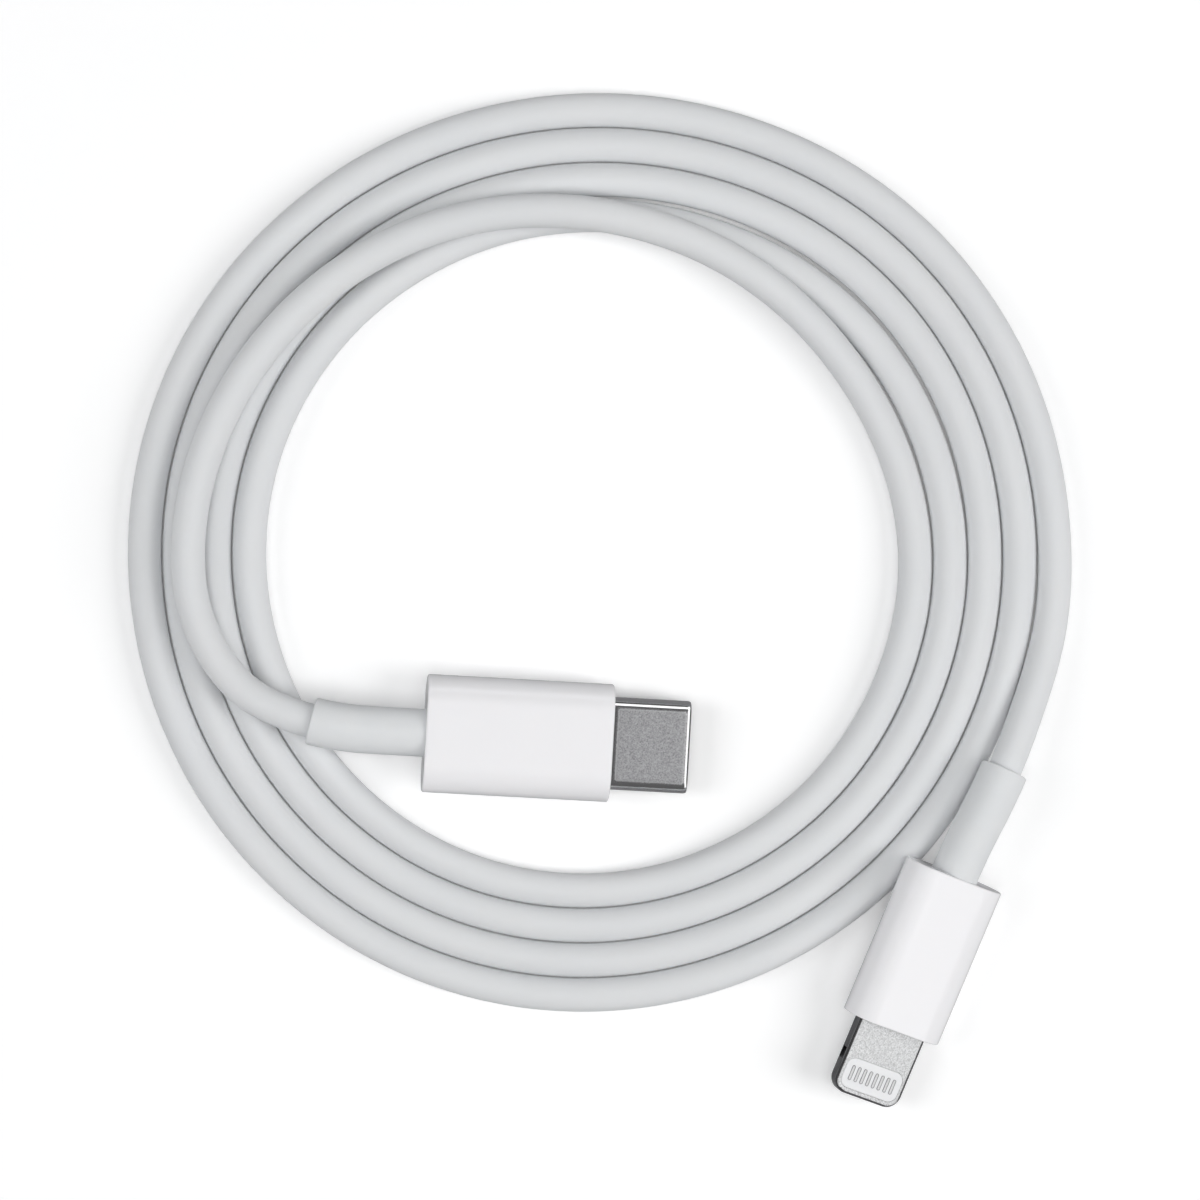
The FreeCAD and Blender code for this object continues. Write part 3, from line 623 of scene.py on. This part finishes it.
def braid(name):
    """Tinned wires laid in crossing bands."""
    g = Surface(name)
    vector = g.coords(PRODUCT)
    waves = []
    for turn in (0.7, -0.7):
        tilted = g.node("ShaderNodeMapping", {"Rotation": (turn, turn, turn),
                                              "Vector": vector}).outputs[0]
        waves.append(g.node("ShaderNodeTexWave", {"Scale": 2.4, "Vector": tilted},
                            wave_type="BANDS", bands_direction="DIAGONAL").outputs["Fac"])
    height = g.calc("MAXIMUM", *waves)
    fine = g.noise(vector, scale=9.0, detail=3.0)
    # Darker where the crossing bands are low: painted shade in the hollows between the wires.
    wires = g.mix(height, (0.22, 0.20, 0.17), (0.72, 0.70, 0.66))
    return g.finish({
        "Metallic": 1.0,
        "Base Color": g.mix(g.calc("MULTIPLY", fine, 0.3), wires, (0.5, 0.46, 0.4)),
        "Roughness": g.ramp(fine, levels=(0.25, 0.42)),
        "Normal": g.bump(height, depth=0.06, strength=0.9),
    })


MATERIALS = {
    "jacket": plastic(
        "jacket_elastomer", (0.800, 0.805, 0.810), rough=0.56, grain=7.0, grain_depth=0.0035,
        cloud=0.06, subsurface=0.08, lines=(1.2, 0.006, (0.05, 1.0, 1.0)), spread=0.03),
    "relief": plastic(
        "relief_elastomer", (0.800, 0.808, 0.812), rough=0.50, grain=9.0, grain_depth=0.003,
        cloud=0.3, subsurface=0.08, spread=0.03),
    "housing": plastic(
        "housing_gloss", (0.930, 0.921, 0.936), rough=0.26, grain=5.0, grain_depth=0.0005,
        cloud=0.12, coat=0.22, subsurface=0.05, spread=0.005, tint=(0.992, 0.996, 1.0),
        gloss_change=0.12),
    "sleeve": blasted(
        "sleeve_blasted", OWN, window=(17.22, 23.36, -3.30, 3.16), flat=(0.36, 0.36, 0.37),
        polish_and_painted_reflection=(0.62, 0.62, 0.63), grain=9.0, contrast=0.42, soft=0.15),
    # The tongue's rim colour is dark and mottled: a painted dark reflection on its side walls
    # and front rim.
    "tongue": blasted(
        "tongue_satin", DEVICE, window=(14.98, 21.40, -3.14, 3.08), flat=(0.66, 0.665, 0.67),
        polish_and_painted_reflection=(0.40, 0.40, 0.41), grain=7.0, contrast=0.34, beyond_z=0.70, rim_dark=0.50),
    "pads": pad_metal(),
    "insert": plastic(
        "insert_moulded", (0.86, 0.86, 0.865), rough=0.30, source=DEVICE, grain=14.0,
        grain_depth=0.002, cloud=1.0, coat=0.2, spread=0.015),
    "carrier": plastic(
        "carrier_moulded", (0.030, 0.030, 0.033), rough=0.42, source=HOST, grain=14.0,
        cloud=0.8, spread=0.08),
    "collar": plastic(
        "collar_moulded", (0.74, 0.74, 0.74), rough=0.45, source=HOST, grain=10.0,
        cloud=0.8, spread=0.05),
    "gold": metal(
        "contact_gold", (0.94, 0.70, 0.30), rough=0.22, source=HOST, grain=8.0,
        contrast=0.07, grain_depth=0.002, stretch=(0.5, 4.0, 1.0)),
    "spring": metal(
        "spring_strip", (0.60, 0.60, 0.61), rough=0.24, source=HOST, grain=8.0,
        contrast=0.08, grain_depth=0.002, stretch=(0.4, 3.0, 3.0)),
    "board_host": board("board_host", HOST),
    "board_device": board("board_device", DEVICE),
    "packages_host": component("packages_host", HOST),
    "packages_device": component("packages_device", DEVICE),
    "can": metal(
        "tinned_sheet", (0.62, 0.63, 0.62), rough=0.32, source=PRODUCT, grain=3.0,
        contrast=0.09, grain_depth=0.004),
    "foil": metal(
        "coil_foil_wrap", (0.80, 0.81, 0.82), rough=0.25, source=PRODUCT, grain=1.6,
        contrast=0.10, grain_depth=0.02),
    "copper": metal(
        "copper_strands", (0.86, 0.45, 0.28), rough=0.28, source=PRODUCT, grain=5.0,
        contrast=0.10, grain_depth=0.004),
    "braid": braid("braid_tinned"),
}
WIRE_COLOURS = {
    "wire_red": (0.55, 0.03, 0.03),
    "wire_black": (0.02, 0.02, 0.022),
    "wire_green": (0.03, 0.28, 0.09),
    "wire_white": (0.76, 0.76, 0.74),
}
for name, colour in WIRE_COLOURS.items():
    MATERIALS[name] = plastic(
        name, colour, rough=0.38, source=PRODUCT, grain=8.0, grain_depth=0.003, cloud=0.4,
        spread=0.06, tint=(0.97, 0.98, 1.0))
MATERIALS["yarn"] = plastic(
    "yarn_spun", (0.68, 0.58, 0.30), rough=0.75, source=PRODUCT, grain=14.0, grain_depth=0.03,
    cloud=1.5, spread=0.12, tint=(0.9, 0.9, 0.85), lines=(4.0, 0.03, (1.0, 1.0, 5.0)))

# The loaded pieces that take each material.
LOADED_PIECES = {
    "tongue": ["device_tongue_frame"],
    "insert": ["device_contact_insert"],
    "pads": ["device_upper_contacts", "device_lower_contacts"],
    "carrier": ["host_contact_carrier"],
    "collar": ["host_front_collar"],
    "gold": ["host_upper_contacts", "host_lower_contacts"],
    "spring": ["host_latch_left", "host_latch_right",
               "host_ground_spring_upper", "host_ground_spring_lower"],
    "board_host": ["host_circuit_board"],
    "board_device": ["device_circuit_board"],
    "packages_host": ["host_board_components"],
    "packages_device": ["device_board_components"],
    "can": ["host_shield_can_upper", "host_shield_can_lower", "device_shield_can_upper",
            "device_shield_can_lower", "host_crimp_ring", "device_crimp_ring"],
    "wire_white": ["host_cable_end", "device_cable_end", "coil_wire_data_minus"],
    "wire_red": ["host_wire_tails", "device_wire_tails", "coil_wire_power"],
    "wire_black": ["coil_wire_ground"],
    "wire_green": ["coil_wire_data_plus"],
    "braid": ["coil_braid_shield"],
    "foil": ["coil_foil_wrap"],
    "copper": ["coil_wire_conductors"],
    "yarn": ["coil_pull_yarn"],
}


def set_material(piece, key):
    piece.data.materials.clear()
    piece.data.materials.append(MATERIALS[key])


for key, names in LOADED_PIECES.items():
    for name in names:
        set_material(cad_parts[name], key)


def paint(piece, key):
    set_material(piece, key)


# ---------------------------------------------------------------- the cable
def flex(name, low, high):
    """A jacket length along the centreline between two (s, body) ends."""
    (low_s, low_body), (high_s, high_body) = low, high
    piece = tube(name, jacket_span(low_s, high_s, step=0.4))
    paint(piece, "jacket")
    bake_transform(piece)
    return piece


def flex_chain(plug_name, joints, yaw, coil_cut):
    """Jacket lengths from the coil outwards, each across one joint and cut halfway
    between joints. Returns the outermost (s, body) end."""
    cuts = [(coil_cut, "coil")]
    for i, (joint, following) in enumerate(zip(joints, joints[1:] + [yaw]), 1):
        cuts.append(((joint + following) / 2, "%s_turn_%02d" % (plug_name, i)))
        low, high = sorted(cuts[-2:])
        piece = flex("cable_flex_%s_%02d" % (plug_name, i), low, high)
        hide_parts("%s_tail_%02d" % (plug_name, i))
    return cuts[-1]


ENTRY_OVERLAP = 1.0     # how far the jacket runs inside a relief's rear lip

cut = flex_chain("device", DEVICE_JOINTS, DEVICE_YAW, COIL_START)
flex("cable_entry_device", (DEVICE_LIP - ENTRY_OVERLAP, "device_relief"), cut)
cut = flex_chain("host", HOST_JOINTS, HOST_YAW, COIL_END)
flex("cable_entry_host", cut, (HOST_LIP + ENTRY_OVERLAP, "host_relief"))

coil = tube("cable_coil", jacket_span(COIL_START, COIL_END, step=0.55))
paint(coil, "jacket")
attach(coil, "coil")
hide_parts("coil_jacket")


# ---------------------------------------------------------------- strain reliefs
def relief(plug_name, inner, rear, sign):
    """One sleeve from just inside the housing to the cable: a rounded rear lip with a
    shallow recess round the cable. sign is +1 when s grows rearwards."""
    lip = 0.16                                  # radius of the rounded lip
    face_radius, mouth_radius = 1.82, 1.72      # on the rear face; edge of the recess
    recess = 0.12                               # rounding of the recess
    bore_radius, bore_depth = 1.585, 0.9        # the bore's first stretch
    outer_steps, bore_steps = 44, 22

    lip_start = rear - sign * lip
    profile = [(inner + (lip_start - inner) * i / outer_steps, RELIEF_RADIUS)
               for i in range(outer_steps + 1)]
    for sin, cos in quarter_turn(steps=8):
        profile.append((rear - sign * lip * (1 - sin), RELIEF_RADIUS - lip * (1 - cos)))
    profile += [(rear, face_radius), (rear, mouth_radius)]
    for sin, cos in quarter_turn(steps=4):
        profile.append((rear - sign * recess * (1 - cos), mouth_radius - recess * sin))
    for depth in (0.3, 0.6, bore_depth):
        profile.append((rear - sign * depth, bore_radius))
    for i in range(1, bore_steps + 1):
        s = rear - sign * bore_depth + (inner - rear + sign * bore_depth) * i / bore_steps
        profile.append((s, bore_radius))

    piece = tube("relief_" + plug_name, profile, sides=56, closed=True)
    paint(piece, "relief")
    body = plug_name + "_relief"
    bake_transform(piece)
    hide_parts(body + "_rear", body + "_front")


INSIDE_HOUSING = 0.35
relief("device", -INSIDE_HOUSING, DEVICE_LIP, sign=1)
relief("host", LENGTH + INSIDE_HOUSING, HOST_LIP, sign=-1)


# ---------------------------------------------------------------- housings and sleeve
def housing(plug_name, plug, length, width, thickness, edge, cavity, opening):
    """A hollow housing from its rear face forwards: a round hole behind, a cavity, and an
    opening in front. opening(grow) gives the front hole's section, grown all round."""
    rear, floor_x, cavity_x = 0.02, 0.52, 1.6   # rear face, rear counterbore, cavity
    outer = stadium(width, thickness)
    hollow = stadium(*cavity)
    hole, hole_rim, cable_hole = 2.21, 2.25, 1.5    # radii
    side_steps = 12

    loops = [(floor_x, disc(hole, outer)), (0.06, disc(hole, outer)),
             (rear, disc(hole_rim, outer)),
             (rear, stadium(width - 2 * edge - 0.4, thickness - 2 * edge - 0.05))]
    loops += rounded_edge(rear, 1, width, thickness, edge)
    for i in range(1, side_steps):
        x = rear + edge + (length - rear - 2 * edge) * i / side_steps
        loops.append((x, outer))
    loops += reversed(rounded_edge(length, -1, width, thickness, edge))
    # Depth of each loop behind the front face, and how far the opening is grown there.
    for depth, grow in ((0.0, 0.16), (0.03, 0.05), (0.10, 0.0), (0.80, 0.0)):
        loops.append((length - depth, opening(grow)))
    loops += [(length - 0.80, hollow), (cavity_x, hollow),
              (cavity_x, disc(cable_hole, outer)), (floor_x, disc(cable_hole, outer))]

    piece = loft("housing_" + plug_name, plug, loops)
    paint(piece, "housing")
    soft = piece.modifiers.new("soft", "WEIGHTED_NORMAL")
    soft.keep_sharp = True
    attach(piece, plug_name + "_plug")
    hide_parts(plug_name + "_housing")


def host_opening(grow):
    return stadium(8.42 + 2 * grow, 2.64 + 2 * grow)


def device_opening(grow):
    return rounded_rect(6.78 + 2 * grow, 1.58 + 2 * grow, 0.45 + grow)


housing("host", HOST, length=16.8, width=10.6, thickness=5.0, edge=0.20,
        cavity=(9.0, 3.5), opening=host_opening)
housing("device", DEVICE, length=14.8, width=9.45, thickness=4.9, edge=0.14,
        cavity=(7.6, 3.4), opening=device_opening)


def sleeve():
    """The host plug's open metal sleeve, drawn in slightly at the nose."""
    width, thickness, wall = 8.34, 2.56, 0.22
    rear, nose, nose_length = 12.4, 23.44, 0.36
    draw_in, inner_edge = 0.13, 0.09            # at the nose outside, at the mouth inside
    outer_steps, inner_steps = 15, 12
    tip = nose + nose_length
    inner_start = tip - inner_edge
    inner_width, inner_thickness = width - 2 * wall, thickness - 2 * wall

    loops = [(rear + (nose - rear) * i / outer_steps, stadium(width, thickness))
             for i in range(outer_steps + 1)]
    for sin, cos in quarter_turn(steps=8):
        inset = 2 * draw_in * (1 - cos)
        loops.append((nose + nose_length * sin, stadium(width - inset, thickness - inset)))
    for sin, cos in quarter_turn(steps=4):
        flare = 2 * inner_edge * (1 - sin)
        loops.append((tip - inner_edge * (1 - cos),
                      stadium(inner_width + flare, inner_thickness + flare)))
    for i in range(1, inner_steps + 1):
        loops.append((inner_start + (rear - inner_start) * i / inner_steps,
                      stadium(inner_width, inner_thickness)))

    piece = loft("sleeve_host", HOST, loops)
    paint(piece, "sleeve")
    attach(piece, "host_plug")
    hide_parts("host_sleeve")


sleeve()

# Small bevels on the loaded pieces of the device tongue.
for key in ("tongue", "insert", "pads"):
    for name in LOADED_PIECES[key]:
        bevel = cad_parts[name].modifiers.new("edge", "BEVEL")
        bevel.width = 0.03 * MM
        bevel.segments = 2
        bevel.limit_method = "ANGLE"
        bevel.angle_limit = math.radians(40)


# ---------------------------------------------------------------- floor, light, camera
def floor():
    """A pale floor, darker in reflections and slightly lit to the camera."""
    half = 3.0      # metres
    mesh = bpy.data.meshes.new("floor")
    corners = [(-half, -half, 0), (half, -half, 0), (half, half, 0), (-half, half, 0)]
    mesh.from_pydata(corners, [], [(0, 1, 2, 3)])
    piece = bpy.data.objects.new("floor", mesh)
    bpy.context.scene.collection.objects.link(piece)
    g = Surface("floor_pale")
    cloud = g.noise(g.coords(PRODUCT), scale=0.02, detail=2.0)
    tone = g.mix(cloud, (0.945, 0.945, 0.947), (0.955, 0.955, 0.955))
    rays = g.node("ShaderNodeLightPath").outputs
    mesh.materials.append(g.finish({
        "Base Color": g.mix(rays["Is Glossy Ray"], tone, (0.30, 0.30, 0.305)),
        "Roughness": 0.75,
        "Specular IOR Level": 0.1,
        "Emission Color": (1, 1, 1),
        "Emission Strength": g.calc("MULTIPLY", rays["Is Camera Ray"], 0.16),
    }))


def area_light(name, location, size, power, colour=(1, 1, 1)):
    """An area light aimed at the origin and unseen in reflections. Metres and watts."""
    light = bpy.data.lights.new(name, "AREA")
    light.shape = "RECTANGLE"
    light.size, light.size_y = size
    light.energy = power
    light.color = colour
    light.spread = math.radians(180)
    lamp = bpy.data.objects.new(name, light)
    bpy.context.scene.collection.objects.link(lamp)
    lamp.location = location
    lamp.rotation_euler = (-Vector(location)).to_track_quat("-Z", "Y").to_euler()
    lamp.visible_glossy = False


def studio():
    """Even dim walls for diffuse light, and a pale backdrop for the camera. Gloss and
    metal see a grey surround with one lit strip towards +Y and one towards +X."""
    world = bpy.data.worlds.new("studio")
    bpy.context.scene.world = world
    world.use_nodes = True
    g = Graph(world.node_tree)
    x, y, z = g.split(g.node("ShaderNodeTexCoord").outputs["Generated"])
    rays = g.node("ShaderNodeLightPath").outputs
    strip_y = g.within(*band(y, low=0.765, high=0.915, soft=0.02), (z, 0.2, 0.4))
    strip_x = g.within(*band(x, low=0.31, high=0.64, soft=0.035), (z, 0.05, 0.3))
    grey, strip_y_level, strip_x_level = 0.16, 2.2, 1.9
    level = g.calc("ADD", grey, g.calc("MULTIPLY", strip_y, strip_y_level))
    level = g.calc("ADD", level, g.calc("MULTIPLY", strip_x, strip_x_level))
    gloss = g.node("ShaderNodeCombineXYZ", {0: level, 1: level, 2: level}).outputs[0]
    colour = g.mix(rays["Is Glossy Ray"], (0.130, 0.132, 0.135), gloss)
    colour = g.mix(rays["Is Camera Ray"], colour, (0.93, 0.935, 0.94))
    background = g.node("ShaderNodeBackground", {"Color": colour, "Strength": 1.0})
    g.node("ShaderNodeOutputWorld", {0: background.outputs[0]})


def camera():
    """A camera looking straight down; its lens frames a set width at jacket height."""
    height = 400.0
    offset_x, offset_y, offset_z = 0.0396, -0.0826, 0.0041
    frame_width = 108.108108
    lens = bpy.data.cameras.new("camera")
    lens.sensor_width = 36.0
    lens.lens = 36.0 * (height - JACKET_RADIUS) / frame_width
    lens.clip_start, lens.clip_end = 0.01, 20.0
    holder = bpy.data.objects.new("camera", lens)
    holder.location = (offset_x * MM, offset_y * MM, (height + offset_z) * MM)
    bpy.context.scene.collection.objects.link(holder)
    bpy.context.scene.camera = holder


floor()
area_light("key", (0.80, -0.16, 0.72), size=(0.50, 0.70), power=5.6, colour=(1.0, 0.998, 0.994))
area_light("fill", (-0.80, 0.04, 0.72), size=(0.50, 0.70), power=3.4, colour=(0.990, 0.995, 1.0))
area_light("top", (0.03, -0.10, 1.1), size=(0.60, 0.60), power=4.0)
studio()
camera()
bpy.context.scene.view_settings.view_transform = "Standard"
